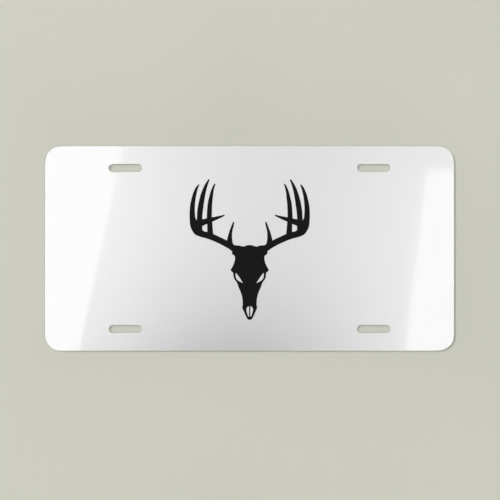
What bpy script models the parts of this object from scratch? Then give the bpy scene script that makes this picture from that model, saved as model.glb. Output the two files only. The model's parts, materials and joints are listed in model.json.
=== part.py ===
"""A decorative front plate for a car: a stamped aluminium sheet with a deer skull printed on its face.

The sheet lies on its back. X runs along it, Y is its upright direction on the car, and Z comes out of
the printed face. The origin is the centre of the back face. Lengths are in metres.
"""

import math

import bmesh
import bpy

MM = 0.001

# The sheet
PLATE_LENGTH = 0.3048
PLATE_HEIGHT = 0.1524
PLATE_THICKNESS = 0.0010
CORNER_RADIUS = 0.0120
CORNER_STEPS = 12
EDGE_ROLL = 0.0002

# The four slots that its screws pass through
SLOT_LENGTH = 0.0248
SLOT_WIDTH = 0.0060
SLOT_SPACING_X = 0.1852
SLOT_SPACING_Y = 0.1200
SLOT_STEPS = 8
CUTTER_OVERRUN = 0.002

# The print: a film of ink, a little to the right of the sheet's middle
PRINT_OFFSET = 0.00015
PRINT_GAP = 0.0003
PRINT_THICKNESS = 0.0002

# The printed figure, in millimetres from the middle of the print. Each place is for the antler or the
# half of the skull at +X, and the other one mirrors it.
# Each part of an antler has stations along its middle line: X, Y and the width there. The beam runs on
# into the outermost tine, and its end turns inwards behind the other tines.
ANTLER = {
    "beam": [
        (8.6, -2.6, 5.6),
        (13.4, 1.1, 4.75),
        (19.45, 4.65, 4.7),
        (23.45, 6.55, 4.65),
        (27.45, 8.35, 4.8),
        (31.45, 9.85, 4.85),
        (34.4, 10.5, 4.7),
        (36.7, 11.55, 5.5),
        (38.9, 13.4, 6.65),
        (41.1, 17.25, 6.45),
        (42.5, 22.0, 4.6),
        (42.8, 26.5, 4.0),
        (42.7, 31.0, 3.65),
        (42.1, 35.5, 3.2),
        (41.3, 39.5, 2.75),
        (40.25, 42.95, 2.2),
        (39.35, 45.3, 1.7),
        (38.1, 47.3, 1.0),
    ],
    "beam_end": [
        (38.0, 18.6, 5.8),
        (34.05, 19.8, 4.5),
        (31.85, 20.45, 4.1),
        (27.95, 21.65, 3.2),
        (23.55, 23.1, 2.1),
        (21.05, 23.95, 1.5),
        (19.1, 24.75, 0.9),
    ],
    "brow_tine": [
        (14.8, 2.6, 4.6),
        (14.9, 4.4, 4.4),
        (14.95, 6.0, 4.0),
        (14.7, 9.0, 3.15),
        (14.2, 12.0, 2.35),
        (13.55, 14.5, 1.9),
        (12.75, 16.9, 1.6),
        (12.1, 19.3, 1.1),
    ],
    "second_tine": [
        (29.2, 9.0, 4.6),
        (29.5, 13.0, 4.2),
        (29.75, 18.0, 3.9),
        (30.1, 23.5, 3.7),
        (29.95, 28.5, 3.6),
        (29.6, 33.5, 3.35),
        (28.85, 38.0, 2.8),
        (28.0, 42.5, 2.1),
        (26.9, 46.0, 1.45),
        (25.95, 47.85, 1.0),
    ],
    "third_tine": [
        (37.9, 14.8, 5.3),
        (37.4, 22.0, 4.1),
        (37.05, 27.5, 4.15),
        (36.25, 33.0, 4.05),
        (35.15, 38.5, 3.55),
        (33.8, 43.5, 2.8),
        (32.1, 48.0, 1.9),
        (30.45, 51.1, 1.1),
    ],
    "burr": [(8.9, 0.6, 2.8), (11.75, -3.2, 3.1)],
}
HORN_STEPS = 3
HORN_END_STEPS = 4

# Landmarks down one side of the skull, from the middle of its crown to the end of its muzzle
SKULL_SIDE = {
    "crown": [(0.0, 2.65), (1.95, 2.4), (3.6, 1.8), (5.4, 1.5), (6.8, 1.95), (8.4, 2.3), (10.0, 2.4)],
    "pedicle": [(11.6, 2.7), (12.8, 4.0), (13.4, 2.0), (12.6, -1.8), (11.7, -4.7), (11.05, -6.0)],
    "temple": [(11.0, -8.0), (11.5, -10.2), (12.45, -12.6), (13.5, -14.6)],
    "orbit": [(14.2, -16.1), (13.3, -17.2), (12.45, -18.1), (12.15, -19.6), (11.9, -21.4), (11.2, -23.2)],
    "cheek": [(10.0, -24.7), (9.15, -26.25), (8.4, -28.6), (7.2, -31.4), (6.05, -34.4), (5.4, -37.6)],
    "muzzle": [(5.2, -40.8), (5.3, -42.8), (5.6, -43.9), (5.1, -45.3), (3.8, -48.2), (2.6, -50.9)],
    "muzzle_end": [(1.7, -52.4), (0.8, -53.05), (0.0, -53.1)],
}
SKULL_STEPS = 3

# The openings that stay bare inside the skull
EYE_SOCKET = [
    (10.4, -18.3),
    (10.5, -19.8),
    (10.3, -21.5),
    (9.4, -23.2),
    (7.75, -24.4),
    (6.1, -25.3),
    (5.1, -25.7),
    (5.6, -24.9),
    (7.0, -22.6),
    (8.8, -20.0),
    (9.9, -18.6),
]
NASAL_OPENING = [
    (0.55, -43.2),
    (1.3, -43.3),
    (2.15, -44.2),
    (2.5, -45.6),
    (2.05, -47.9),
    (1.3, -50.1),
    (0.8, -50.8),
    (0.5, -50.5),
    (0.42, -47.0),
]
OPENING_STEPS = 3

WHITE_COAT = (0.80, 0.80, 0.80, 1.0)
WHITE_COAT_ROUGHNESS = 0.12
BLACK_INK = (0.010, 0.010, 0.010, 1.0)
BLACK_INK_ROUGHNESS = 0.5


def clear_scene():
    for obj in list(bpy.data.objects):
        bpy.data.objects.remove(obj)


def material(name, colour, roughness):
    made = bpy.data.materials.new(name)
    made.use_nodes = True
    shader = made.node_tree.nodes["Principled BSDF"]
    shader.inputs["Base Color"].default_value = colour
    shader.inputs["Roughness"].default_value = roughness
    shader.inputs["Metallic"].default_value = 0.0
    return made


def rounded_rectangle(length, height, radius, steps, centre=(0.0, 0.0)):
    """Points round a rectangle with rounded corners, anticlockwise. A slot is one whose ends are round."""
    points = []
    for quarter, (side_x, side_y) in enumerate([(1, 1), (-1, 1), (-1, -1), (1, -1)]):
        middle_x = centre[0] + side_x * (length / 2 - radius)
        middle_y = centre[1] + side_y * (height / 2 - radius)
        for step in range(steps + 1):
            angle = (quarter + step / steps) * math.pi / 2
            points.append((middle_x + radius * math.cos(angle), middle_y + radius * math.sin(angle)))
    return points


def stack(name, levels, finish=None):
    """A solid whose outline at each height is a level: (points, height). All have as many points."""
    shape = bmesh.new()
    rings = [[shape.verts.new((x, y, height)) for x, y in points] for points, height in levels]
    count = len(rings[0])
    for lower, upper in zip(rings, rings[1:]):
        for i in range(count):
            after = (i + 1) % count
            shape.faces.new((lower[i], lower[after], upper[after], upper[i]))
    shape.faces.new(reversed(rings[0]))
    shape.faces.new(rings[-1])
    bmesh.ops.remove_doubles(shape, verts=shape.verts, dist=1e-6)
    mesh = bpy.data.meshes.new(name)
    shape.to_mesh(mesh)
    shape.free()
    if finish:
        mesh.materials.append(finish)
    obj = bpy.data.objects.new(name, mesh)
    bpy.context.scene.collection.objects.link(obj)
    return obj


def make_helper(obj):
    obj.hide_render = True
    obj.display_type = "WIRE"


def boolean(obj, name, operation, other):
    """Adds a Boolean with one object, or with every object of a collection."""
    added = obj.modifiers.new(name, "BOOLEAN")
    added.operation = operation
    if isinstance(other, bpy.types.Collection):
        added.operand_type = "COLLECTION"
        added.collection = other
    else:
        added.object = other


def make_sheet():
    """The sheet: stamped, so its front edges are rolled over a little, and its four slots are too."""
    straight = rounded_rectangle(PLATE_LENGTH, PLATE_HEIGHT, CORNER_RADIUS, CORNER_STEPS)
    rolled = rounded_rectangle(
        PLATE_LENGTH - 2 * EDGE_ROLL,
        PLATE_HEIGHT - 2 * EDGE_ROLL,
        CORNER_RADIUS - EDGE_ROLL,
        CORNER_STEPS,
    )
    levels = [(straight, 0.0), (straight, PLATE_THICKNESS - EDGE_ROLL), (rolled, PLATE_THICKNESS)]
    sheet = stack("plate_sheet", levels, material("white coat", WHITE_COAT, WHITE_COAT_ROUGHNESS))
    for row, side_y in (("top", 1), ("bottom", -1)):
        for column, side_x in (("left", -1), ("right", 1)):
            centre = (side_x * SLOT_SPACING_X / 2, side_y * SLOT_SPACING_Y / 2)
            cutter = slot_cutter(f"slot_{row}_{column}", centre)
            boolean(sheet, cutter.name, "DIFFERENCE", cutter)


def slot_cutter(name, centre):
    radius = SLOT_WIDTH / 2
    straight = rounded_rectangle(SLOT_LENGTH, SLOT_WIDTH, radius, SLOT_STEPS, centre)
    rolled = rounded_rectangle(
        SLOT_LENGTH + 2 * EDGE_ROLL,
        SLOT_WIDTH + 2 * EDGE_ROLL,
        radius + EDGE_ROLL,
        SLOT_STEPS,
        centre,
    )
    levels = [
        (straight, -CUTTER_OVERRUN),
        (straight, PLATE_THICKNESS - EDGE_ROLL),
        (rolled, PLATE_THICKNESS),
        (rolled, PLATE_THICKNESS + CUTTER_OVERRUN),
    ]
    cutter = stack(name, levels)
    make_helper(cutter)
    return cutter


def between(before, here, after, beyond, t):
    """A value on the Catmull-Rom curve from here to after, at t from 0 to 1."""
    slope = after - before
    bend = 2 * before - 5 * here + 4 * after - beyond
    twist = 3 * here - before - 3 * after + beyond
    return here + 0.5 * t * (slope + t * (bend + t * twist))


def smooth_line(marks, steps):
    """A curve through the marks, from the first to the last, with this many points from one to the next."""
    before = tuple(2 * a - b for a, b in zip(marks[0], marks[1]))
    beyond = tuple(2 * a - b for a, b in zip(marks[-1], marks[-2]))
    marks = [before, *marks, beyond]
    points = []
    for near in zip(marks, marks[1:], marks[2:], marks[3:]):
        for step in range(steps):
            points.append(tuple(between(*values, step / steps) for values in zip(*near)))
    return [*points, marks[-2]]


def smooth_loop(marks, steps):
    """A closed curve that passes through each mark, with this many points from one to the next."""
    points = []
    for i in range(len(marks)):
        near = [marks[(i + k) % len(marks)] for k in (-1, 0, 1, 2)]
        for step in range(steps):
            points.append(tuple(between(*values, step / steps) for values in zip(*near)))
    return points


def round_end(point, angle, radius, steps):
    """The inner points of a half circle that faces the way the angle says."""
    turns = [angle - math.pi / 2 + math.pi * step / steps for step in range(1, steps)]
    return [(point[0] + radius * math.cos(a), point[1] + radius * math.sin(a)) for a in turns]


def horn(stations):
    """The outline round a line of stations: up one side, round the tip, down the other side."""
    line = smooth_line(stations, HORN_STEPS)
    angles = []
    for i in range(len(line)):
        before, after = line[max(i - 1, 0)], line[min(i + 1, len(line) - 1)]
        angles.append(math.atan2(after[1] - before[1], after[0] - before[0]))
    right, left = [], []
    for (x, y, width), angle in zip(line, angles):
        out_x, out_y = width / 2 * math.sin(angle), -width / 2 * math.cos(angle)
        right.append((x + out_x, y + out_y))
        left.append((x - out_x, y - out_y))
    tip = round_end(line[-1], angles[-1], line[-1][2] / 2, HORN_END_STEPS)
    foot = round_end(line[0], angles[0] + math.pi, line[0][2] / 2, HORN_END_STEPS)
    return right + tip + left[::-1] + foot


def mirrored(points):
    return [(-x, y) for x, y in points[::-1]]


def skull_outline():
    side = [mark for marks in SKULL_SIDE.values() for mark in marks]
    return smooth_loop([*side, *mirrored(side[1:-1])], SKULL_STEPS)


def anticlockwise(points):
    following = [*points[1:], points[0]]
    area = sum(ax * by - bx * ay for (ax, ay), (bx, by) in zip(points, following))
    return points if area > 0 else points[::-1]


def film(name, points, bottom, top, finish=None):
    """A flat piece of the figure, from an outline in millimetres."""
    placed = [(x * MM + PRINT_OFFSET, y * MM) for x, y in anticlockwise(points)]
    return stack(name, [(placed, bottom), (placed, top)], finish)


def helper_set(name, outlines, bottom, top):
    """A collection of hidden pieces: each outline, and its mirror image."""
    group = bpy.data.collections.new(name)
    bpy.context.scene.collection.children.link(group)
    for part, points in outlines.items():
        for side, shape in (("right", points), ("left", mirrored(points))):
            helper = film(f"{part}_{side}", shape, bottom, top)
            bpy.context.scene.collection.objects.unlink(helper)
            group.objects.link(helper)
            make_helper(helper)
    return group


def make_print():
    """The figure is one film of ink: the skull joined with both antlers, less its openings."""
    bottom = PLATE_THICKNESS + PRINT_GAP
    top = bottom + PRINT_THICKNESS
    ink = material("black ink", BLACK_INK, BLACK_INK_ROUGHNESS)
    figure = film("deer_skull_print", skull_outline(), bottom, top, ink)
    antler = {part: horn(stations) for part, stations in ANTLER.items()}
    openings = {
        "eye_socket": smooth_loop(EYE_SOCKET, OPENING_STEPS),
        "nasal_opening": smooth_loop(NASAL_OPENING, OPENING_STEPS),
    }
    boolean(figure, "antlers", "UNION", helper_set("antlers", antler, bottom, top))
    cuts = helper_set("openings", openings, bottom - CUTTER_OVERRUN, top + CUTTER_OVERRUN)
    boolean(figure, "openings", "DIFFERENCE", cuts)


clear_scene()
make_sheet()
make_print()
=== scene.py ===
"""A printed aluminium front plate for a car, lying face up under studio softboxes. Lengths are in metres."""

import json
import math

import bmesh
import bpy
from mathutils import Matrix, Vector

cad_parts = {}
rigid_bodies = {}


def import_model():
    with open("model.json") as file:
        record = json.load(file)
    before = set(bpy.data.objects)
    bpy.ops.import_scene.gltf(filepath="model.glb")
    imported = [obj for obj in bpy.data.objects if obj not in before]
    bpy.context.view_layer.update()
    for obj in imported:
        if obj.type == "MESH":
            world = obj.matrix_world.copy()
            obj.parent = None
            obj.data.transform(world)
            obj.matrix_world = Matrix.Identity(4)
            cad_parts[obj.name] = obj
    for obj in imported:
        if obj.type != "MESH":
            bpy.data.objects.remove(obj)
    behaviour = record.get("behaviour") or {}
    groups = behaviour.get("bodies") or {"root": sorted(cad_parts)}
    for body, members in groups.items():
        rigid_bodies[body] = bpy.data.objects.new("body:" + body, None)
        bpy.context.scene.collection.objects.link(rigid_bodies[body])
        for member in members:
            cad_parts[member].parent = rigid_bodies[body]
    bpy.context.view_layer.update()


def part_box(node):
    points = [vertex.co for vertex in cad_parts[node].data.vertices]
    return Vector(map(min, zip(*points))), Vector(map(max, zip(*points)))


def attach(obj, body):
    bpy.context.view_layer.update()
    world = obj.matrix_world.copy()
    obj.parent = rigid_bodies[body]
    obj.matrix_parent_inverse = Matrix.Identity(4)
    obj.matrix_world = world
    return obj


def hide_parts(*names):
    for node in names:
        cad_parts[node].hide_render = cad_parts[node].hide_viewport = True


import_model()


# The camera. It looks straight down at the plate, from a metre above, with the plate's upright direction
# up the picture. The picture's width on the plate's face sets how far away it stands.
MM = 0.001
LENS = 100.0
SENSOR = 36.0
PICTURE_WIDTH_ON_FACE = 372.7 * MM
AIM_X = 0.38 * MM
AIM_Y = -1.10 * MM
NEAREST_SEEN = 0.05
FARTHEST_SEEN = 50.0

sheet_low, sheet_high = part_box("plate_sheet")
face_height = sheet_high.z
camera_height = PICTURE_WIDTH_ON_FACE * LENS / SENSOR

camera_data = bpy.data.cameras.new("camera")
camera_data.lens = LENS
camera_data.sensor_width = SENSOR
camera_data.clip_start = NEAREST_SEEN
camera_data.clip_end = FARTHEST_SEEN
camera = bpy.data.objects.new("camera", camera_data)
camera.location = (AIM_X, AIM_Y, face_height + camera_height)
bpy.context.scene.collection.objects.link(camera)
bpy.context.scene.camera = camera
bpy.context.scene.view_settings.view_transform = "Standard"


# The blank. A press cuts it, with its four slots, out of hard aluminium sheet that was painted before:
# the punch rolls the face's edges over, burnishes the upper half of the wall, tears the rest, and leaves
# a fine burr round the back. Its back is as the rolling mill left it.
CORNER_RADIUS = 12.0 * MM
CORNER_STEPS = 40
SLOT_LENGTH = 24.8 * MM
SLOT_WIDTH = 6.0 * MM
SLOT_SPACING_X = 185.2 * MM
SLOT_SPACING_Y = 120.0 * MM
SLOT_STEPS = 20

COAT_THICKNESS = 0.04 * MM
BURR_HEIGHT = 0.02 * MM
BURR_DEPTH = 0.024 * MM
BURR_WIDTH = 0.04 * MM
ROLL_WIDTH = 0.08 * MM
ROLL_DROP = 0.12 * MM
ROLL_STEPS = 6
TEAR_HEIGHT = 0.42 * MM
TEAR_DEPTH = 0.034 * MM
TEAR_RAGGED = 0.14 * MM
TEAR_BLUR = 0.015 * MM
WALL_START = BURR_HEIGHT * 1.2
WALL_FULL = BURR_HEIGHT * 2.0
WELD = 0.001 * MM
SHARP_FROM = math.radians(40)

# The torn part of the wall in section, in shares of its depth and its height, from its top down
TEAR_SHAPE = ((0.0, 1.0), (0.6, 0.8), (1.0, 0.2))

# A flat rim runs inside the edges. Its outermost strip, beside the roll, keeps the rim's shading level.
RIM_WIDTH = 0.60 * MM
RIM_FLAT = 0.01 * MM

# The metal's patterns, in waves a metre along X, Y and Z, and its two sets of scratches, with their turns
GRAIN_WAVES = (12.0, 1500.0, 1500.0)
CLOUD_WAVES = (14.0, 30.0, 30.0)
SCORE_WAVES = (4000.0, 4000.0, 60.0)
CRUMB_WAVES = (2600.0, 2600.0, 2600.0)
TEAR_WAVES = (350.0, 350.0, 350.0)
SCRATCH_SETS = (((7.0, 120.0, 1.0), 0.12), ((5.0, 70.0, 1.0), -0.55))
SCRATCH_WIDTH = 0.006
NOISE_LOW = 0.3
NOISE_HIGH = 0.7

# Its colours and roughness: rolled on the back, torn and shorn on the cut wall
ROLLED_DULL = (0.72, 0.725, 0.735, 1.0)
ROLLED_BRIGHT = (0.84, 0.84, 0.845, 1.0)
SCRATCH_BRIGHT = (0.9, 0.9, 0.9, 1.0)
SCRATCH_SHOWS = 0.35
TORN_DULL = (0.42, 0.42, 0.43, 1.0)
TORN_BRIGHT = (0.70, 0.70, 0.71, 1.0)
SHORN_DULL = (0.74, 0.74, 0.75, 1.0)
SHORN_BRIGHT = (0.90, 0.90, 0.90, 1.0)
ROLLED_ROUGHNESS = (0.24, 0.38)
CLOUD_ROUGHNESS = 0.08
TORN_ROUGHNESS = 0.62
SHORN_ROUGHNESS = 0.24

# How deep its texture is, and the share of that depth that each pattern has
GRAIN_DEPTH = 0.02 * MM
GRAIN_SHARE = 0.08
SCRATCH_SHARE = 0.04
SCORE_SHARE = 0.15

sheet_top = face_height - COAT_THICKNESS


def roll(width, drop, top):
    """The rolled edge in section, from the face out to the wall, as (depth in from the wall, height)."""
    turns = [math.pi / 2 * step / ROLL_STEPS for step in range(ROLL_STEPS + 1)]
    return [(width * (1 - math.sin(turn)), top - drop * (1 - math.cos(turn))) for turn in turns]


def section_curve(name, points):
    """The section as a curve in its own plane: X is the depth and Y the height."""
    curve = bpy.data.curves.new(name, "CURVE")
    curve.dimensions = "3D"
    line = curve.splines.new("POLY")
    line.points.add(len(points) - 1)
    for point, (depth, height) in zip(line.points, points):
        point.co = (depth, height, 0.0, 1.0)
    section = bpy.data.objects.new(name, curve)
    bpy.context.scene.collection.objects.link(section)
    return section


def add(tree, kind, inputs=(), **settings):
    """A new node, with its settings, and its inputs by name: each a value or the socket that feeds it."""
    node = tree.nodes.new(kind)
    for name, value in settings.items():
        setattr(node, name, value)
    for name, value in dict(inputs).items():
        socket = node.inputs[name]
        if isinstance(value, bpy.types.NodeSocket):
            tree.links.new(value, socket)
        else:
            socket.default_value = value
    return node


def stamping_tree():
    """Draws a section round the blank's outline and its slots, and closes it above and below."""
    tree = bpy.data.node_groups.new("stamping", "GeometryNodeTree")
    tree.interface.new_socket("Geometry", in_out="OUTPUT", socket_type="NodeSocketGeometry")
    kinds = {"Section": "Object", "Finish": "Material", "Corner Steps": "Int", "Slot Steps": "Int"}
    names = ("Length", "Height", "Corner Radius", "Slot Length", "Slot Width")
    names += ("Slot Spacing X", "Slot Spacing Y", "Top Height", "Bottom Height")
    kinds |= {name: "Float" for name in names}
    for name, kind in kinds.items():
        tree.interface.new_socket(name, in_out="INPUT", socket_type=f"NodeSocket{kind}")
    sizes = add(tree, "NodeGroupInput").outputs

    outline = add(
        tree,
        "GeometryNodeCurvePrimitiveQuadrilateral",
        {"Width": sizes["Length"], "Height": sizes["Height"]},
    )
    rounded = add(
        tree,
        "GeometryNodeFilletCurve",
        {
            "Curve": outline.outputs["Curve"],
            "Radius": sizes["Corner Radius"],
            "Count": sizes["Corner Steps"],
        },
        mode="POLY",
    )
    slot = add(
        tree,
        "GeometryNodeCurvePrimitiveQuadrilateral",
        {"Width": sizes["Slot Length"], "Height": sizes["Slot Width"]},
    )
    slot_radius = add(tree, "ShaderNodeMath", {0: sizes["Slot Width"], 1: 0.5}, operation="MULTIPLY")
    slot_end = add(
        tree,
        "GeometryNodeFilletCurve",
        {
            "Curve": slot.outputs["Curve"],
            "Radius": slot_radius.outputs["Value"],
            "Limit Radius": True,
            "Count": sizes["Slot Steps"],
        },
        mode="POLY",
    )
    slot_places = add(
        tree,
        "GeometryNodeMeshGrid",
        {
            "Size X": sizes["Slot Spacing X"],
            "Size Y": sizes["Slot Spacing Y"],
            "Vertices X": 2,
            "Vertices Y": 2,
        },
    )
    slots = add(
        tree,
        "GeometryNodeInstanceOnPoints",
        {"Points": slot_places.outputs["Mesh"], "Instance": slot_end.outputs["Curve"]},
    )
    slot_curves = add(tree, "GeometryNodeRealizeInstances", {"Geometry": slots.outputs["Instances"]})
    turned_round = add(tree, "GeometryNodeReverseCurve", {"Curve": rounded.outputs["Curve"]})
    paths = add(tree, "GeometryNodeJoinGeometry")
    tree.links.new(turned_round.outputs["Curve"], paths.inputs[0])
    tree.links.new(slot_curves.outputs["Geometry"], paths.inputs[0])

    flat_paths = add(tree, "GeometryNodeSetCurveNormal", {"Curve": paths.outputs[0]}, mode="Z_UP")
    section = add(tree, "GeometryNodeObjectInfo", {"Object": sizes["Section"]})
    section_up = add(
        tree,
        "GeometryNodeTransform",
        {"Geometry": section.outputs["Geometry"], "Rotation": (math.pi, 0.0, 0.0)},
    )
    swept = add(
        tree,
        "GeometryNodeCurveToMesh",
        {"Curve": flat_paths.outputs["Curve"], "Profile Curve": section_up.outputs["Geometry"]},
    )
    edges = add(tree, "GeometryNodeFlipFaces", {"Mesh": swept.outputs["Mesh"]})

    faces_beside = add(tree, "GeometryNodeInputMeshEdgeNeighbors").outputs["Face Count"]
    place = add(tree, "GeometryNodeInputPosition")
    height = add(tree, "ShaderNodeSeparateXYZ", {"Vector": place.outputs["Position"]}).outputs["Z"]
    parts = add(tree, "GeometryNodeJoinGeometry")
    tree.links.new(edges.outputs["Mesh"], parts.inputs[0])
    for level in ("Top Height", "Bottom Height"):
        open_edge = add(
            tree, "FunctionNodeCompare", {2: faces_beside, 3: 1}, data_type="INT", operation="EQUAL"
        )
        at_level = add(
            tree,
            "FunctionNodeCompare",
            {0: height, 1: sizes[level], "Epsilon": WELD},
            data_type="FLOAT",
            operation="EQUAL",
        )
        both = add(
            tree,
            "FunctionNodeBooleanMath",
            {0: open_edge.outputs["Result"], 1: at_level.outputs["Result"]},
            operation="AND",
        )
        rim = add(
            tree,
            "GeometryNodeMeshToCurve",
            {"Mesh": edges.outputs["Mesh"], "Selection": both.outputs["Boolean"]},
        )
        filled = add(tree, "GeometryNodeFillCurve", {"Curve": rim.outputs["Curve"]})
        lift = add(tree, "ShaderNodeCombineXYZ", {"Z": sizes[level]})
        face = add(
            tree,
            "GeometryNodeSetPosition",
            {"Geometry": filled.outputs["Mesh"], "Offset": lift.outputs["Vector"]},
        )
        if level == "Bottom Height":
            face = add(tree, "GeometryNodeFlipFaces", {"Mesh": face.outputs["Geometry"]})
        tree.links.new(face.outputs[0], parts.inputs[0])
    welded = add(
        tree, "GeometryNodeMergeByDistance", {"Geometry": parts.outputs[0], "Distance": WELD}
    )
    real = add(tree, "GeometryNodeRealizeInstances", {"Geometry": welded.outputs["Geometry"]})
    finished = add(
        tree,
        "GeometryNodeSetMaterial",
        {"Geometry": real.outputs["Geometry"], "Material": sizes["Finish"]},
    )
    add(tree, "NodeGroupOutput", {"Geometry": finished.outputs["Geometry"]})
    return tree


def stamped(name, tree, points, finish):
    """A plain mesh from the stamping tree, with this section. Its sides are smooth and its edges sharp."""
    section = section_curve(f"{name}_section", points)
    sizes = {
        "Section": section,
        "Finish": finish,
        "Corner Steps": CORNER_STEPS,
        "Slot Steps": SLOT_STEPS,
        "Length": sheet_high.x - sheet_low.x,
        "Height": sheet_high.y - sheet_low.y,
        "Corner Radius": CORNER_RADIUS,
        "Slot Length": SLOT_LENGTH,
        "Slot Width": SLOT_WIDTH,
        "Slot Spacing X": SLOT_SPACING_X,
        "Slot Spacing Y": SLOT_SPACING_Y,
        "Top Height": points[0][1],
        "Bottom Height": points[-1][1],
    }
    maker = bpy.data.objects.new(name, bpy.data.meshes.new(name))
    bpy.context.scene.collection.objects.link(maker)
    modifier = maker.modifiers.new("stamping", "NODES")
    modifier.node_group = tree
    for socket in tree.interface.items_tree:
        if socket.in_out == "INPUT":
            modifier[socket.identifier] = sizes[socket.name]
    graph = bpy.context.evaluated_depsgraph_get()
    mesh = bpy.data.meshes.new_from_object(maker.evaluated_get(graph), depsgraph=graph)
    maker.modifiers.remove(modifier)
    mesh.materials.clear()
    mesh.materials.append(finish)
    maker.data = mesh
    bpy.data.objects.remove(section)
    mesh.shade_smooth()
    mesh.set_sharp_from_angle(angle=SHARP_FROM)
    return maker


def new_finish(name):
    """A new material: itself, its node tree and its shader."""
    made = bpy.data.materials.new(name)
    made.use_nodes = True
    return made, made.node_tree, made.node_tree.nodes["Principled BSDF"]


def noise(tree, places, stretch, detail=2.0, turn=0.0):
    """Noise on places that are stretched by this many waves a metre along X, Y and Z, after a turn."""
    turned = add(tree, "ShaderNodeMapping", {"Vector": places, "Rotation": (0.0, 0.0, turn)})
    scaled = add(
        tree, "ShaderNodeMapping", {"Vector": turned.outputs["Vector"], "Scale": stretch}
    )
    made = add(
        tree, "ShaderNodeTexNoise", {"Vector": scaled.outputs["Vector"], "Scale": 1.0, "Detail": detail}
    )
    return made.outputs["Fac"]


def spread(tree, value, low, high, to_low, to_high):
    """The value, mapped from one range to another, and held at its ends."""
    made = add(
        tree,
        "ShaderNodeMapRange",
        {
            "Value": value,
            "From Min": low,
            "From Max": high,
            "To Min": to_low,
            "To Max": to_high,
        },
    )
    return made.outputs["Result"]


def maths(tree, operation, first, second=0.0):
    """The two values, combined, or the first alone, changed, where the operation takes one."""
    return add(tree, "ShaderNodeMath", {0: first, 1: second}, operation=operation).outputs["Value"]


def blended(tree, share, first, second):
    """A colour between the two, by the share."""
    made = add(
        tree,
        "ShaderNodeMix",
        {"Factor": share, "A": first, "B": second},
        data_type="RGBA",
    )
    return made.outputs["Result"]


def raised(tree, height, depth):
    """The normals of a surface that stands up by the height, from 0 to 1, times this depth."""
    return add(tree, "ShaderNodeBump", {"Height": height, "Distance": depth}).outputs["Normal"]


def scratches(tree, places, stretch, turn):
    """1 along fine lines, which follow where the noise crosses its middle value, and 0 between them."""
    waves = noise(tree, places, stretch, detail=3.0, turn=turn)
    away = maths(tree, "ABSOLUTE", maths(tree, "SUBTRACT", waves, 0.5))
    return spread(tree, away, 0.0, SCRATCH_WIDTH, 1.0, 0.0)


def aluminium():
    """Mill-finished aluminium: grain along its length, fine scratches, and a burnished and torn wall."""
    made, tree, shader = new_finish("mill aluminium")
    places = add(tree, "ShaderNodeTexCoord").outputs["Object"]
    height = add(tree, "ShaderNodeSeparateXYZ", {"Vector": places}).outputs["Z"]
    grain = noise(tree, places, GRAIN_WAVES, detail=4.0)
    clouds = noise(tree, places, CLOUD_WAVES, detail=3.0)
    scores = noise(tree, places, SCORE_WAVES, detail=2.0)
    crumbs = noise(tree, places, CRUMB_WAVES, detail=3.0)
    first_set, second_set = (scratches(tree, places, *lines) for lines in SCRATCH_SETS)
    scuffs = maths(tree, "MAXIMUM", first_set, second_set)

    ragged = maths(tree, "MULTIPLY", noise(tree, places, TEAR_WAVES, detail=3.0), TEAR_RAGGED)
    above_tear = maths(tree, "SUBTRACT", height, ragged)
    tear_end = TEAR_HEIGHT - TEAR_RAGGED / 2
    burnished = spread(tree, above_tear, tear_end - TEAR_BLUR, tear_end + TEAR_BLUR, 0.0, 1.0)
    wall = spread(tree, height, WALL_START, WALL_FULL, 0.0, 1.0)
    back = maths(tree, "SUBTRACT", 1.0, wall)

    rolled = blended(tree, grain, ROLLED_DULL, ROLLED_BRIGHT)
    scuffed = blended(tree, maths(tree, "MULTIPLY", scuffs, SCRATCH_SHOWS), rolled, SCRATCH_BRIGHT)
    torn = blended(tree, crumbs, TORN_DULL, TORN_BRIGHT)
    shorn = blended(tree, scores, SHORN_DULL, SHORN_BRIGHT)
    cut = blended(tree, burnished, torn, shorn)
    tree.links.new(blended(tree, wall, scuffed, cut), shader.inputs["Base Color"])

    grain_rough = spread(tree, grain, NOISE_LOW, NOISE_HIGH, *ROLLED_ROUGHNESS)
    rolled_rough = maths(tree, "ADD", grain_rough, maths(tree, "MULTIPLY", clouds, CLOUD_ROUGHNESS))
    cut_rough = spread(tree, burnished, 0.0, 1.0, TORN_ROUGHNESS, SHORN_ROUGHNESS)
    back_rough = maths(tree, "MULTIPLY", rolled_rough, back)
    wall_rough = maths(tree, "MULTIPLY", cut_rough, wall)
    tree.links.new(maths(tree, "ADD", back_rough, wall_rough), shader.inputs["Roughness"])

    grain_height = maths(tree, "MULTIPLY", grain, GRAIN_SHARE)
    rolled_height = maths(tree, "SUBTRACT", grain_height, maths(tree, "MULTIPLY", scuffs, SCRATCH_SHARE))
    torn_height = maths(tree, "MULTIPLY", maths(tree, "SUBTRACT", 1.0, burnished), crumbs)
    cut_height = maths(tree, "ADD", torn_height, maths(tree, "MULTIPLY", scores, SCORE_SHARE))
    back_height = maths(tree, "MULTIPLY", rolled_height, back)
    wall_height = maths(tree, "MULTIPLY", cut_height, wall)
    relief = maths(tree, "ADD", back_height, wall_height)
    tree.links.new(raised(tree, relief, GRAIN_DEPTH), shader.inputs["Normal"])
    shader.inputs["Metallic"].default_value = 1.0
    return made


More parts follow.
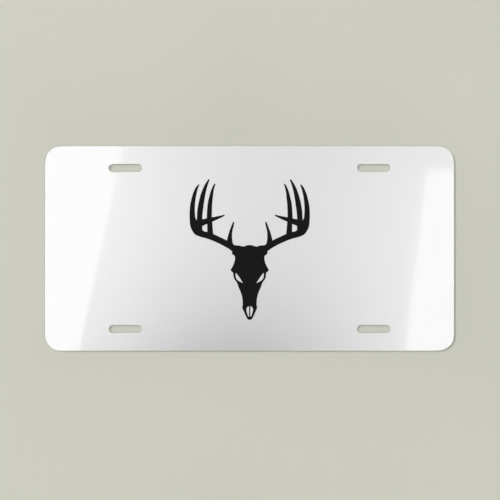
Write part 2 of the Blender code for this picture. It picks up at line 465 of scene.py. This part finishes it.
sheet_roll = roll(ROLL_WIDTH, ROLL_DROP, sheet_top)
wall = [
    *((TEAR_DEPTH * deep, TEAR_HEIGHT * high) for deep, high in TEAR_SHAPE),
    (BURR_DEPTH, sheet_low.z),
    (BURR_DEPTH + BURR_WIDTH, sheet_low.z + BURR_HEIGHT),
    (RIM_WIDTH, sheet_low.z + BURR_HEIGHT),
]
flat_end = ROLL_WIDTH + RIM_FLAT
sheet_section = [(RIM_WIDTH, sheet_top), (flat_end, sheet_top), *sheet_roll, *wall]
stamping = stamping_tree()
sheet = stamped("sheet", stamping, sheet_section, aluminium())
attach(sheet, "root")
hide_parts("plate_sheet")


# The white coat. Baked gloss paint on the face only. It follows the rolled edges down and runs out where
# the punch cut it through. A painted highlight makes it a little lighter along its edges.
COAT_DULL = (0.775, 0.775, 0.775, 1.0)
COAT_BRIGHT = (0.825, 0.825, 0.825, 1.0)
# A painted highlight: the lighter colour along the coat's edges
COAT_EDGE_HIGHLIGHT = (0.90, 0.90, 0.90, 1.0)
COAT_ROUGHNESS = (0.023, 0.032)
COAT_IOR = 1.6
COAT_SPECK_WAVES = (900.0, 900.0, 900.0)
COAT_CLOUD_WAVES = (22.0, 22.0, 22.0)
COAT_SPECK_SHARE = 0.7
PEEL_WAVES = (240.0, 240.0, 240.0)
PEEL_DEPTH = 0.002 * MM
EDGE_HIGHLIGHT_MARK = "painted_highlight_edge"


def mottled(tree, speck, clouds, speck_share):
    """Specks and clouds together, of which the specks have this share."""
    fine = maths(tree, "MULTIPLY", speck, speck_share)
    broad = maths(tree, "MULTIPLY", clouds, 1.0 - speck_share)
    return maths(tree, "ADD", fine, broad)


def white_coat():
    """Baked gloss white: barely mottled, with the faintest orange peel, and a painted highlight along its
    edges.
    """
    made, tree, shader = new_finish("white coat")
    places = add(tree, "ShaderNodeTexCoord").outputs["Object"]
    speck = noise(tree, places, COAT_SPECK_WAVES, detail=1.0)
    clouds = noise(tree, places, COAT_CLOUD_WAVES, detail=3.0)
    mottle = mottled(tree, speck, clouds, COAT_SPECK_SHARE)
    even = blended(tree, mottle, COAT_DULL, COAT_BRIGHT)
    # A painted highlight along the rim, lighter than the rest of the coat
    edge_highlight = add(tree, "ShaderNodeAttribute", attribute_name=EDGE_HIGHLIGHT_MARK).outputs["Fac"]
    tree.links.new(blended(tree, edge_highlight, even, COAT_EDGE_HIGHLIGHT), shader.inputs["Base Color"])
    rough = spread(tree, clouds, NOISE_LOW, NOISE_HIGH, *COAT_ROUGHNESS)
    tree.links.new(rough, shader.inputs["Roughness"])
    peel = noise(tree, places, PEEL_WAVES, detail=1.0)
    tree.links.new(raised(tree, peel, PEEL_DEPTH), shader.inputs["Normal"])
    shader.inputs["IOR"].default_value = COAT_IOR
    return made


def mark_edges(piece, top):
    """Marks with 1 the rolled edges and the strip beside them, so that 0 to 1 runs across the rim's painted
    highlight.
    """
    mesh = piece.data
    marks = mesh.attributes.new(EDGE_HIGHLIGHT_MARK, "FLOAT", "POINT").data
    for edge in mesh.edges:
        first, second = (mesh.vertices[i].co for i in edge.vertices)
        across_strip = (first - second).length < 1.5 * RIM_FLAT
        if across_strip or min(first.z, second.z) < top - WELD:
            for i in edge.vertices:
                marks[i].value = 1.0


def flat_map(piece):
    """Lays the piece's face out on its UV map as seen from above, and its underside beside it."""
    corners = [vert.co for vert in piece.data.vertices]
    left = min(place.x for place in corners)
    bottom = min(place.y for place in corners)
    width = max(place.x for place in corners) - left
    height = max(place.y for place in corners) - bottom
    scale = 1.0 / max(width, 2.0 * height)
    layer = piece.data.uv_layers.new(name="OFBake")
    for face in piece.data.polygons:
        beside = height if face.normal.z < 0.0 else 0.0
        for loop in face.loop_indices:
            place = corners[piece.data.loops[loop].vertex_index]
            layer.data[loop].uv = ((place.x - left) * scale, (place.y - bottom + beside) * scale)


coat_roll = roll(ROLL_WIDTH, ROLL_DROP + COAT_THICKNESS, face_height)
coat_section = [(RIM_WIDTH, face_height), (flat_end, face_height), *coat_roll]
coat_section += [*sheet_roll[-2::-1], (flat_end, sheet_top), (RIM_WIDTH, sheet_top)]
coat = stamped("coat", stamping, coat_section, white_coat())
# The coat's rim takes the painted highlight
mark_edges(coat, face_height)
flat_map(coat)
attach(coat, "root")
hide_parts("plate_sheet")


# The printed deer skull. A film of black ink, screen printed on the coat and cured. It stands up a little,
# with a soft edge, and is dull beside the gloss.
PRINT_OFFSET = 0.15 * MM
INK_THICKNESS = 0.04 * MM
INK_EDGE = 0.05 * MM
INK_WELD = 0.02 * MM
LEVEL_STEP = 0.05 * MM
FACES_UP = 0.9
FACES_ASIDE = 0.5

INK_DEEP = (0.0080, 0.0080, 0.0080, 1.0)
INK_PALE = (0.0120, 0.0120, 0.0120, 1.0)
INK_ROUGHNESS = (0.50, 0.60)
INK_NOISE_LOW = 0.35
INK_NOISE_HIGH = 0.65
INK_SHINE = 0.06
INK_SPECK_WAVES = (1100.0, 1100.0, 1100.0)
INK_CLOUD_WAVES = (60.0, 60.0, 60.0)
INK_SPECK_SHARE = 0.6
INK_GRAIN_DEPTH = 0.004 * MM

# The printed figure, in millimetres from the middle of the print. Each place is for the antler or the
# half of the skull at +X, and the other one mirrors it.
# Each part of an antler has stations along its middle line: X, Y and the width there. The beam runs on
# into the outermost tine, and its end turns inwards behind the other tines.
ANTLER = {
    "beam": [
        (8.6, -2.6, 5.6),
        (13.4, 1.1, 4.75),
        (19.45, 4.65, 4.7),
        (23.45, 6.55, 4.65),
        (27.45, 8.35, 4.8),
        (31.45, 9.85, 4.85),
        (34.4, 10.5, 4.7),
        (36.7, 11.55, 5.5),
        (38.9, 13.4, 6.65),
        (41.1, 17.25, 6.45),
        (42.5, 22.0, 4.6),
        (42.8, 26.5, 4.0),
        (42.7, 31.0, 3.65),
        (42.1, 35.5, 3.2),
        (41.3, 39.5, 2.75),
        (40.25, 42.95, 2.2),
        (39.35, 45.3, 1.7),
        (38.1, 47.3, 1.0),
    ],
    "beam_end": [
        (38.0, 18.6, 5.8),
        (34.05, 19.8, 4.5),
        (31.85, 20.45, 4.1),
        (27.95, 21.65, 3.2),
        (23.55, 23.1, 2.1),
        (21.05, 23.95, 1.5),
        (19.1, 24.75, 0.9),
    ],
    "brow_tine": [
        (14.8, 2.6, 4.6),
        (14.9, 4.4, 4.4),
        (14.95, 6.0, 4.0),
        (14.7, 9.0, 3.15),
        (14.2, 12.0, 2.35),
        (13.55, 14.5, 1.9),
        (12.75, 16.9, 1.6),
        (12.1, 19.3, 1.1),
    ],
    "second_tine": [
        (29.2, 9.0, 4.6),
        (29.5, 13.0, 4.2),
        (29.75, 18.0, 3.9),
        (30.1, 23.5, 3.7),
        (29.95, 28.5, 3.6),
        (29.6, 33.5, 3.35),
        (28.85, 38.0, 2.8),
        (28.0, 42.5, 2.1),
        (26.9, 46.0, 1.45),
        (25.95, 47.85, 1.0),
    ],
    "third_tine": [
        (37.9, 14.8, 5.3),
        (37.4, 22.0, 4.1),
        (37.05, 27.5, 4.15),
        (36.25, 33.0, 4.05),
        (35.15, 38.5, 3.55),
        (33.8, 43.5, 2.8),
        (32.1, 48.0, 1.9),
        (30.45, 51.1, 1.1),
    ],
    "burr": [(8.9, 0.6, 2.8), (11.75, -3.2, 3.1)],
}
HORN_STEPS = 8
HORN_END_STEPS = 10

# Landmarks down one side of the skull, from the middle of its crown to the end of its muzzle
SKULL_SIDE = {
    "crown": [(0.0, 2.65), (1.95, 2.4), (3.6, 1.8), (5.4, 1.5), (6.8, 1.95), (8.4, 2.3), (10.0, 2.4)],
    "pedicle": [(11.6, 2.7), (12.8, 4.0), (13.4, 2.0), (12.6, -1.8), (11.7, -4.7), (11.05, -6.0)],
    "temple": [(11.0, -8.0), (11.5, -10.2), (12.45, -12.6), (13.5, -14.6)],
    "orbit": [(14.2, -16.1), (13.3, -17.2), (12.45, -18.1), (12.15, -19.6), (11.9, -21.4), (11.2, -23.2)],
    "cheek": [(10.0, -24.7), (9.15, -26.25), (8.4, -28.6), (7.2, -31.4), (6.05, -34.4), (5.4, -37.6)],
    "muzzle": [(5.2, -40.8), (5.3, -42.8), (5.6, -43.9), (5.1, -45.3), (3.8, -48.2), (2.6, -50.9)],
    "muzzle_end": [(1.7, -52.4), (0.8, -53.05), (0.0, -53.1)],
}
SKULL_STEPS = 8

# The openings that stay bare inside the skull
EYE_SOCKET = [
    (10.4, -18.3),
    (10.5, -19.8),
    (10.3, -21.5),
    (9.4, -23.2),
    (7.75, -24.4),
    (6.1, -25.3),
    (5.1, -25.7),
    (5.6, -24.9),
    (7.0, -22.6),
    (8.8, -20.0),
    (9.9, -18.6),
]
NASAL_OPENING = [
    (0.55, -43.2),
    (1.3, -43.3),
    (2.15, -44.2),
    (2.5, -45.6),
    (2.05, -47.9),
    (1.3, -50.1),
    (0.8, -50.8),
    (0.5, -50.5),
    (0.42, -47.0),
]
OPENING_STEPS = 8

# Half the sizes of the plain sheet that cuts the figure level
CUTTER_X = 90.0
CUTTER_Y = 70.0


def between(before, here, after, beyond, t):
    """A value on the Catmull-Rom curve from here to after, at t from 0 to 1."""
    slope = after - before
    bend = 2 * before - 5 * here + 4 * after - beyond
    twist = 3 * here - before - 3 * after + beyond
    return here + 0.5 * t * (slope + t * (bend + t * twist))


def smooth_line(marks, steps):
    """A curve through the marks, from the first to the last, with this many points from one to the next."""
    before = tuple(2 * a - b for a, b in zip(marks[0], marks[1]))
    beyond = tuple(2 * a - b for a, b in zip(marks[-1], marks[-2]))
    marks = [before, *marks, beyond]
    points = []
    for near in zip(marks, marks[1:], marks[2:], marks[3:]):
        for step in range(steps):
            points.append(tuple(between(*values, step / steps) for values in zip(*near)))
    return [*points, marks[-2]]


def smooth_loop(marks, steps):
    """A closed curve that passes through each mark, with this many points from one to the next."""
    points = []
    for i in range(len(marks)):
        near = [marks[(i + k) % len(marks)] for k in (-1, 0, 1, 2)]
        for step in range(steps):
            points.append(tuple(between(*values, step / steps) for values in zip(*near)))
    return points


def round_end(point, angle, radius, steps):
    """The inner points of a half circle that faces the way the angle says."""
    turns = [angle - math.pi / 2 + math.pi * step / steps for step in range(1, steps)]
    return [(point[0] + radius * math.cos(a), point[1] + radius * math.sin(a)) for a in turns]


def horn(stations):
    """The outline round a line of stations: up one side, round the tip, down the other side."""
    line = smooth_line(stations, HORN_STEPS)
    angles = []
    for i in range(len(line)):
        before, after = line[max(i - 1, 0)], line[min(i + 1, len(line) - 1)]
        angles.append(math.atan2(after[1] - before[1], after[0] - before[0]))
    right, left = [], []
    for (x, y, width), angle in zip(line, angles):
        out_x, out_y = width / 2 * math.sin(angle), -width / 2 * math.cos(angle)
        right.append((x + out_x, y + out_y))
        left.append((x - out_x, y - out_y))
    tip = round_end(line[-1], angles[-1], line[-1][2] / 2, HORN_END_STEPS)
    foot = round_end(line[0], angles[0] + math.pi, line[0][2] / 2, HORN_END_STEPS)
    return right + tip + left[::-1] + foot


def mirrored(points):
    return [(-x, y) for x, y in points[::-1]]


def prism(name, points, bottom, top):
    """A flat piece of the figure, from an outline in millimetres."""
    following = [*points[1:], points[0]]
    area = sum(ax * by - bx * ay for (ax, ay), (bx, by) in zip(points, following))
    outline = points if area > 0 else points[::-1]
    shape = bmesh.new()
    lower, upper = (
        [shape.verts.new((x * MM + PRINT_OFFSET, y * MM, z)) for x, y in outline] for z in (bottom, top)
    )
    for i in range(len(points)):
        after = (i + 1) % len(points)
        shape.faces.new((lower[i], lower[after], upper[after], upper[i]))
    shape.faces.new(lower[::-1])
    shape.faces.new(upper)
    mesh = bpy.data.meshes.new(name)
    shape.to_mesh(mesh)
    shape.free()
    return bpy.data.objects.new(name, mesh)


def prism_set(name, outlines, bottom, top):
    """A collection of prisms, each with its mirror image. No two kinds have their ends at one level."""
    group = bpy.data.collections.new(name)
    bpy.context.scene.collection.children.link(group)
    for rank, (part, points) in enumerate(outlines.items(), 1):
        longer = rank * LEVEL_STEP
        for side, outline in (("right", points), ("left", mirrored(points))):
            group.objects.link(prism(f"{part}_{side}", outline, bottom - longer, top + longer))
    return group


def black_ink():
    """Cured ink: a deep, dull black, faintly mottled, with a fine texture and no mirror in it."""
    made, tree, shader = new_finish("black ink")
    places = add(tree, "ShaderNodeTexCoord").outputs["Object"]
    speck = noise(tree, places, INK_SPECK_WAVES, detail=2.0)
    clouds = noise(tree, places, INK_CLOUD_WAVES, detail=3.0)
    mottle = mottled(tree, speck, clouds, INK_SPECK_SHARE)
    tree.links.new(blended(tree, mottle, INK_DEEP, INK_PALE), shader.inputs["Base Color"])
    rough = spread(tree, mottle, INK_NOISE_LOW, INK_NOISE_HIGH, *INK_ROUGHNESS)
    tree.links.new(rough, shader.inputs["Roughness"])
    tree.links.new(raised(tree, speck, INK_GRAIN_DEPTH), shader.inputs["Normal"])
    shader.inputs["Specular IOR Level"].default_value = INK_SHINE
    return made


def printed_figure(finish):
    """The skull joined with both antlers, less its openings, cut level, with its upper edge rounded off."""
    bottom = face_height
    top = face_height + INK_THICKNESS
    antler = {part: horn(stations) for part, stations in ANTLER.items()}
    openings = {
        "eye_socket": smooth_loop(EYE_SOCKET, OPENING_STEPS),
        "nasal_opening": smooth_loop(NASAL_OPENING, OPENING_STEPS),
    }
    side = [mark for marks in SKULL_SIDE.values() for mark in marks]
    skull = smooth_loop([*side, *mirrored(side[1:-1])], SKULL_STEPS)
    cutter = [(-CUTTER_X, -CUTTER_Y), (CUTTER_X, -CUTTER_Y), (CUTTER_X, CUTTER_Y), (-CUTTER_X, CUTTER_Y)]
    figure = prism("printed_figure", skull, bottom - LEVEL_STEP / 2, top + LEVEL_STEP / 2)
    bpy.context.scene.collection.objects.link(figure)
    level = bpy.data.collections.new("level")
    bpy.context.scene.collection.children.link(level)
    level.objects.link(prism("level_cut", cutter, bottom, top))
    sets = {
        "UNION": prism_set("antlers", antler, bottom, top),
        "DIFFERENCE": prism_set("openings", openings, bottom - MM, top + MM),
        "INTERSECT": level,
    }
    for operation, group in sets.items():
        modifier = figure.modifiers.new(operation, "BOOLEAN")
        modifier.operation = operation
        modifier.operand_type = "COLLECTION"
        modifier.collection = group
    graph = bpy.context.evaluated_depsgraph_get()
    mesh = bpy.data.meshes.new_from_object(figure.evaluated_get(graph), depsgraph=graph)
    figure.modifiers.clear()
    for group in sets.values():
        for helper in list(group.objects):
            bpy.data.objects.remove(helper)
        bpy.data.collections.remove(group)

    film = bmesh.new()
    film.from_mesh(mesh)
    bmesh.ops.remove_doubles(film, verts=film.verts, dist=INK_WELD)
    upper = [face for face in film.faces if face.normal.z > FACES_UP]
    rim = {vert for face in upper for vert in face.verts}
    bmesh.ops.inset_region(film, faces=upper, thickness=INK_EDGE, use_even_offset=True)
    for vert in rim:
        if any(face.normal.z < FACES_ASIDE for face in vert.link_faces):
            vert.co.z -= INK_THICKNESS / 2
    bmesh.ops.triangulate(film, faces=film.faces)
    film.to_mesh(mesh)
    film.free()
    mesh.materials.clear()
    mesh.materials.append(finish)
    mesh.shade_smooth()
    mesh.set_sharp_from_angle(angle=SHARP_FROM)
    figure.data = mesh
    return figure


ink = printed_figure(black_ink())
flat_map(ink)
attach(ink, "root")
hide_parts("deer_skull_print")


# The table. A wide, smooth board painted a pale stone colour, with painted shade close round the plate.
# Far off it runs into the light backdrop, as a studio sweep does.
FLOOR_SIZE = 40.0
STONE = (0.89, 0.89, 0.775)
STONE_ROUGHNESS = 0.9
SWEEP_START = 1.0
SWEEP_END = 5.0
HORIZON_LIGHT = 0.60

# The painted shade round the plate, and the painted shade right at its edges and in its slots: how deep
# each is, how far it reaches, and its shift along X and Y
PAINTED_FLOOR_SHADE = 0.05
PAINTED_FLOOR_SHADE_REACH = 48.0 * MM
PAINTED_FLOOR_SHADE_SHIFT = (10.0 * MM, 12.0 * MM)
PAINTED_CONTACT_SHADE = 0.26
PAINTED_CONTACT_REACH = 0.26 * MM
PAINTED_CONTACT_SHIFT = (-0.4 * MM, 0.3 * MM)

# Paler and darker patches in the board's colour: the middle of each, how far it reaches along X and Y, and
# how much darker it makes the board there, or lighter where below 0
PAINT_PATCHES = {
    "pale": (162 * MM, 90 * MM, 46 * MM, 56 * MM, -0.040),
    "deep": (-10 * MM, 114 * MM, 38 * MM, 60 * MM, 0.022),
    "near pale": (175 * MM, -155 * MM, 60 * MM, 55 * MM, -0.014),
    "near deep": (-25 * MM, -190 * MM, 60 * MM, 38 * MM, 0.019),
}


def vectors(tree, operation, first, second=(0.0, 0.0, 0.0)):
    """The two vectors, combined: a vector, or a value where the operation gives one."""
    made = add(tree, "ShaderNodeVectorMath", {0: first, 1: second}, operation=operation)
    return made.outputs["Value" if operation == "LENGTH" else "Vector"]


def past_box(tree, places, middle, half_x, half_y):
    """How far a place is past the sides of a level box round the middle: 0 where it isn't."""
    one_side = vectors(tree, "ABSOLUTE", vectors(tree, "SUBTRACT", places, (*middle, 0.0)))
    return vectors(tree, "MAXIMUM", vectors(tree, "SUBTRACT", one_side, (half_x, half_y, 0.0)))


def faded(tree, away, reach):
    """1 at no distance, and fading with it."""
    return maths(tree, "EXPONENT", maths(tree, "MULTIPLY", away, -1.0 / reach))


def with_patches(tree, places, total, patches, height=0.0):
    """The total, plus what the soft patches add here: each is full in its middle and fades all round."""
    for x, y, reach_x, reach_y, adds in patches.values():
        near = add(
            tree,
            "ShaderNodeMapping",
            {"Vector": places, "Location": (x, y, height), "Scale": (reach_x, reach_y, 1.0)},
            vector_type="TEXTURE",
        ).outputs["Vector"]
        away = add(tree, "ShaderNodeVectorMath", {0: near, 1: near}, operation="DOT_PRODUCT")
        fades = maths(tree, "MULTIPLY", away.outputs["Value"], -1.0)
        patch = maths(tree, "MULTIPLY", maths(tree, "EXPONENT", fades), adds)
        total = maths(tree, "ADD", patch, total)
    return total


def stone_paint():
    """Dull paint, with painted shade round the plate, deeper still right at its edges, where little light
    falls.
    """
    made, tree, shader = new_finish("stone paint")
    places = add(tree, "ShaderNodeTexCoord").outputs["Object"]
    past_sides = past_box(tree, places, PAINTED_FLOOR_SHADE_SHIFT, sheet_high.x, sheet_high.y)
    around = vectors(tree, "LENGTH", past_sides)

    core_x = sheet_high.x - CORNER_RADIUS
    core_y = sheet_high.y - CORNER_RADIUS
    from_core = vectors(tree, "LENGTH", past_box(tree, places, PAINTED_CONTACT_SHIFT, core_x, core_y))
    outside = maths(tree, "SUBTRACT", from_core, CORNER_RADIUS)
    quarter = vectors(tree, "ABSOLUTE", vectors(tree, "SUBTRACT", places, (*PAINTED_CONTACT_SHIFT, 0.0)))
    slot = (SLOT_SPACING_X / 2, SLOT_SPACING_Y / 2)
    past_slot = past_box(tree, quarter, slot, (SLOT_LENGTH - SLOT_WIDTH) / 2, 0.0)
    from_slot = vectors(tree, "LENGTH", past_slot)
    within_slot = maths(tree, "SUBTRACT", SLOT_WIDTH / 2, from_slot)
    from_edge = maths(tree, "MAXIMUM", maths(tree, "MAXIMUM", outside, within_slot), 0.0)

    # Painted shade: darker round the plate, and darker still right at its edges and in its slots
    shade = maths(
        tree,
        "ADD",
        maths(tree, "MULTIPLY", faded(tree, around, PAINTED_FLOOR_SHADE_REACH), PAINTED_FLOOR_SHADE),
        maths(tree, "MULTIPLY", faded(tree, from_edge, PAINTED_CONTACT_REACH), PAINTED_CONTACT_SHADE),
    )
    lightness = maths(tree, "SUBTRACT", 1.0, with_patches(tree, places, shade, PAINT_PATCHES))
    paint = add(tree, "ShaderNodeVectorMath", {0: STONE, "Scale": lightness}, operation="SCALE")
    tree.links.new(paint.outputs["Vector"], shader.inputs["Base Color"])
    shader.inputs["Roughness"].default_value = STONE_ROUGHNESS
    shader.inputs["Specular IOR Level"].default_value = 0.0

    far = spread(tree, vectors(tree, "LENGTH", places), SWEEP_START, SWEEP_END, 0.0, 1.0)
    backdrop = add(tree, "ShaderNodeEmission", {"Strength": HORIZON_LIGHT})
    front = shader.outputs["BSDF"]
    mixed = add(tree, "ShaderNodeMixShader", {0: far, 1: front, 2: backdrop.outputs["Emission"]})
    tree.links.new(mixed.outputs["Shader"], tree.nodes["Material Output"].inputs["Surface"])
    made.cycles.emission_sampling = "NONE"
    return made


bpy.ops.mesh.primitive_plane_add(size=FLOOR_SIZE)
floor = bpy.context.object
floor.name = "floor"
floor.data.materials.append(stone_paint())


# The lights. A lamp low to the left and behind draws the short shadows. Three panels hang level, high above
# the plate, where the camera sees them mirrored in its gloss: a softbox over each end, and above and
# between these a scrim, a stretched white cloth that lamps behind it light unevenly.
SHADOW_RIGHT = 1.6 * MM
SHADOW_DOWN = 1.05 * MM
KEY_DISTANCE = 8.0
KEY_SIZE = 1.0
KEY_POWER = 311.0
ZENITH_LIGHT = 0.19

SOFTBOX_HEIGHT = 4.0
SCRIM_GAP = 0.02
PANEL_REACH_X = 0.80
PANEL_REACH_Y = 0.44

# Where the softboxes' near edges are seen on the face: two points of each edge, and the right one's far
# end, towards which it fades. Past its near edge the right one has a thin skirt, which hides little.
LEFT_BAND = ((-94.3 * MM, 73.5 * MM), (-125.7 * MM, -69.8 * MM))
RIGHT_BAND = ((132.6 * MM, 60.0 * MM), (116.6 * MM, -75.7 * MM))
RIGHT_BAND_TOP = 62.2 * MM
RIGHT_BAND_FADE = 6.5 * MM
SKIRT_WIDTH = 9.0 * MM
SKIRT_COVER = 0.27

LEFT_STRENGTH = 8.4
RIGHT_STRENGTH = 8.2

# The scrim's own brightness, and its brighter and darker patches: where the middle of each is seen on the
# face, how far it reaches there along X and Y, and how much it adds
SCRIM_STRENGTH = 3.6
SCRIM_PATCHES = {
    "left": (-148 * MM, 33 * MM, 105 * MM, 210 * MM, 3.6),
    "right": (158 * MM, -21 * MM, 88 * MM, 167 * MM, 2.9),
    "near": (-15 * MM, -110 * MM, 89 * MM, 75 * MM, -4.2),
    "nearest": (-40 * MM, -92 * MM, 90 * MM, 17 * MM, -1.8),
}

mirror_reach = (camera_height + SOFTBOX_HEIGHT) / camera_height
skirt_width = SKIRT_WIDTH * mirror_reach


def mirror_spot(x, y):
    """The place, at the softboxes' height above the face, that the camera sees mirrored at this point."""
    return AIM_X + (x - AIM_X) * mirror_reach, AIM_Y + (y - AIM_Y) * mirror_reach


def edge_at(band, y):
    """Where along X the line of a softbox's near edge is, at this Y."""
    (top_x, top_y), (bottom_x, bottom_y) = (mirror_spot(*point) for point in band)
    return bottom_x + (top_x - bottom_x) * (y - bottom_y) / (top_y - bottom_y)


def glow(name):
    """A new material that only glows: itself and its light."""
    made = bpy.data.materials.new(name)
    made.use_nodes = True
    tree = made.node_tree
    tree.nodes.remove(tree.nodes["Principled BSDF"])
    light = add(tree, "ShaderNodeEmission")
    tree.links.new(light.outputs["Emission"], tree.nodes["Material Output"].inputs["Surface"])
    return made, light


def plain_front(brightness):
    """A softbox's front that is even all over."""
    made, light = glow("softbox front")
    light.inputs["Strength"].default_value = brightness
    return made


def skirted_front(brightness, band, end):
    """A softbox's front that fades out at its far end, and has a thin skirt past its near edge."""
    made, light = glow("skirted softbox front")
    tree = made.node_tree
    light.inputs["Strength"].default_value = brightness
    places = add(tree, "ShaderNodeTexCoord").outputs["Object"]
    parts = add(tree, "ShaderNodeSeparateXYZ", {"Vector": places}).outputs
    slope = edge_at(band, 1.0) - edge_at(band, 0.0)
    edge = maths(tree, "ADD", maths(tree, "MULTIPLY", parts["Y"], slope), edge_at(band, 0.0))
    within = maths(tree, "SUBTRACT", parts["X"], edge)
    skirt = spread(tree, within, -skirt_width, 0.0, 0.0, SKIRT_COVER)
    across = maths(tree, "MAXIMUM", skirt, maths(tree, "GREATER_THAN", within, 0.0))
    along = spread(tree, parts["Y"], end - RIGHT_BAND_FADE * mirror_reach, end, 1.0, 0.0)
    cover = maths(tree, "MULTIPLY", across, along)
    through = add(tree, "ShaderNodeBsdfTransparent").outputs["BSDF"]
    mixed = add(tree, "ShaderNodeMixShader", {0: cover, 1: through, 2: light.outputs["Emission"]})
    tree.links.new(mixed.outputs["Shader"], tree.nodes["Material Output"].inputs["Surface"])
    return made


def scrim_cloth(evenly, patches):
    """The scrim's cloth: even, but for the patches that lamps behind it light or leave."""
    made, light = glow("scrim cloth")
    tree = made.node_tree
    places = add(tree, "ShaderNodeTexCoord").outputs["Object"]
    height = face_height + SOFTBOX_HEIGHT + SCRIM_GAP
    mirrored_patches = {
        name: (*mirror_spot(x, y), reach_x * mirror_reach, reach_y * mirror_reach, adds)
        for name, (x, y, reach_x, reach_y, adds) in patches.items()
    }
    total = with_patches(tree, places, evenly, mirrored_patches, height)
    tree.links.new(maths(tree, "MAXIMUM", total, 0.0), light.inputs["Strength"])
    return made


def light_panel(name, corners, height, finish):
    """A level panel with these corners, at this height above the face, that the camera doesn't see."""
    mesh = bpy.data.meshes.new(name)
    mesh.from_pydata([(x, y, face_height + height) for x, y in corners], [], [range(len(corners))])
    mesh.materials.append(finish)
    panel = bpy.data.objects.new(name, mesh)
    bpy.context.scene.collection.objects.link(panel)
    panel.visible_camera = False


light_panel(
    "left softbox",
    [
        (-PANEL_REACH_X, -PANEL_REACH_Y),
        (-PANEL_REACH_X, PANEL_REACH_Y),
        (edge_at(LEFT_BAND, PANEL_REACH_Y), PANEL_REACH_Y),
        (edge_at(LEFT_BAND, -PANEL_REACH_Y), -PANEL_REACH_Y),
    ],
    SOFTBOX_HEIGHT,
    plain_front(LEFT_STRENGTH),
)
right_top = mirror_spot(0.0, RIGHT_BAND_TOP)[1]
light_panel(
    "right softbox",
    [
        (edge_at(RIGHT_BAND, -PANEL_REACH_Y) - skirt_width, -PANEL_REACH_Y),
        (edge_at(RIGHT_BAND, right_top) - skirt_width, right_top),
        (PANEL_REACH_X, right_top),
        (PANEL_REACH_X, -PANEL_REACH_Y),
    ],
    SOFTBOX_HEIGHT,
    skirted_front(RIGHT_STRENGTH, RIGHT_BAND, right_top),
)
light_panel(
    "scrim",
    [
        (-PANEL_REACH_X, -PANEL_REACH_Y),
        (-PANEL_REACH_X, PANEL_REACH_Y),
        (PANEL_REACH_X, PANEL_REACH_Y),
        (PANEL_REACH_X, -PANEL_REACH_Y),
    ],
    SOFTBOX_HEIGHT + SCRIM_GAP,
    scrim_cloth(SCRIM_STRENGTH, SCRIM_PATCHES),
)

# Strip softboxes stand in a ring round the table, each leaning a little to one side. They are dim and only
# show as mirrored in gloss and bare metal, so that the plate shines from the sides too.
STRIP_COUNT = 8
STRIP_DISTANCE = 3.0
STRIP_WIDTH = 1.0
STRIP_LOW = 0.3
STRIP_HIGH = 2.4
STRIP_LEAN = 0.35
STRIP_TURN = math.radians(-8)
STRIP_CORE = 0.25
STRIP_STRENGTH = 1.7
STRIP_SIDE_STRENGTH = 0.9


def strip_front(core, side):
    """A strip softbox's front: even along its middle, and fading to its sides."""
    made, light = glow("strip front")
    tree = made.node_tree
    places = add(tree, "ShaderNodeTexCoord").outputs["Object"]
    parts = add(tree, "ShaderNodeSeparateXYZ", {"Vector": places}).outputs
    middle = spread(tree, parts["Z"], STRIP_LOW, STRIP_HIGH, -STRIP_LEAN / 2, STRIP_LEAN / 2)
    beside = maths(tree, "ABSOLUTE", maths(tree, "SUBTRACT", parts["X"], middle))
    fades = spread(tree, beside, STRIP_CORE * STRIP_WIDTH, STRIP_WIDTH / 2, core, side)
    tree.links.new(fades, light.inputs["Strength"])
    return made


strip_mesh = bpy.data.meshes.new("strip softbox")
strip_corners = [
    (-(STRIP_LEAN + STRIP_WIDTH) / 2, STRIP_DISTANCE, STRIP_LOW),
    ((STRIP_WIDTH - STRIP_LEAN) / 2, STRIP_DISTANCE, STRIP_LOW),
    ((STRIP_LEAN + STRIP_WIDTH) / 2, STRIP_DISTANCE, STRIP_HIGH),
    ((STRIP_LEAN - STRIP_WIDTH) / 2, STRIP_DISTANCE, STRIP_HIGH),
]
strip_mesh.from_pydata(strip_corners, [], [(0, 1, 2, 3)])
strip_mesh.materials.append(strip_front(STRIP_STRENGTH, STRIP_SIDE_STRENGTH))
for number in range(STRIP_COUNT):
    strip = bpy.data.objects.new(f"strip softbox {number + 1}", strip_mesh)
    strip.rotation_euler.z = STRIP_TURN + 2 * math.pi * number / STRIP_COUNT
    strip.visible_camera = False
    strip.visible_diffuse = False
    strip.visible_shadow = False
    bpy.context.scene.collection.objects.link(strip)

# The lamp stands where the light past the plate's edge lands that far to the right and down the picture
key_data = bpy.data.lights.new("key", "AREA")
key_data.shape = "DISK"
key_data.size = KEY_SIZE
key_data.energy = KEY_POWER
key = bpy.data.objects.new("key", key_data)
shadow_share = math.hypot(SHADOW_RIGHT, SHADOW_DOWN, face_height) / KEY_DISTANCE
key.location = (-SHADOW_RIGHT / shadow_share, SHADOW_DOWN / shadow_share, face_height / shadow_share)
key.rotation_euler = key.location.to_track_quat("Z", "Y").to_euler()
bpy.context.scene.collection.objects.link(key)

# The studio's walls and ceiling give an even light, which is dimmer from above
world = bpy.data.worlds.new("studio")
world.use_nodes = True
bpy.context.scene.world = world
sky = world.node_tree
toward = add(sky, "ShaderNodeTexCoord").outputs["Generated"]
up = add(sky, "ShaderNodeSeparateXYZ", {"Vector": toward}).outputs["Z"]
background = sky.nodes["Background"]
background.inputs["Color"].default_value = (1.0, 1.0, 1.0, 1.0)
sky.links.new(spread(sky, up, 0.0, 1.0, HORIZON_LIGHT, ZENITH_LIGHT), background.inputs["Strength"])
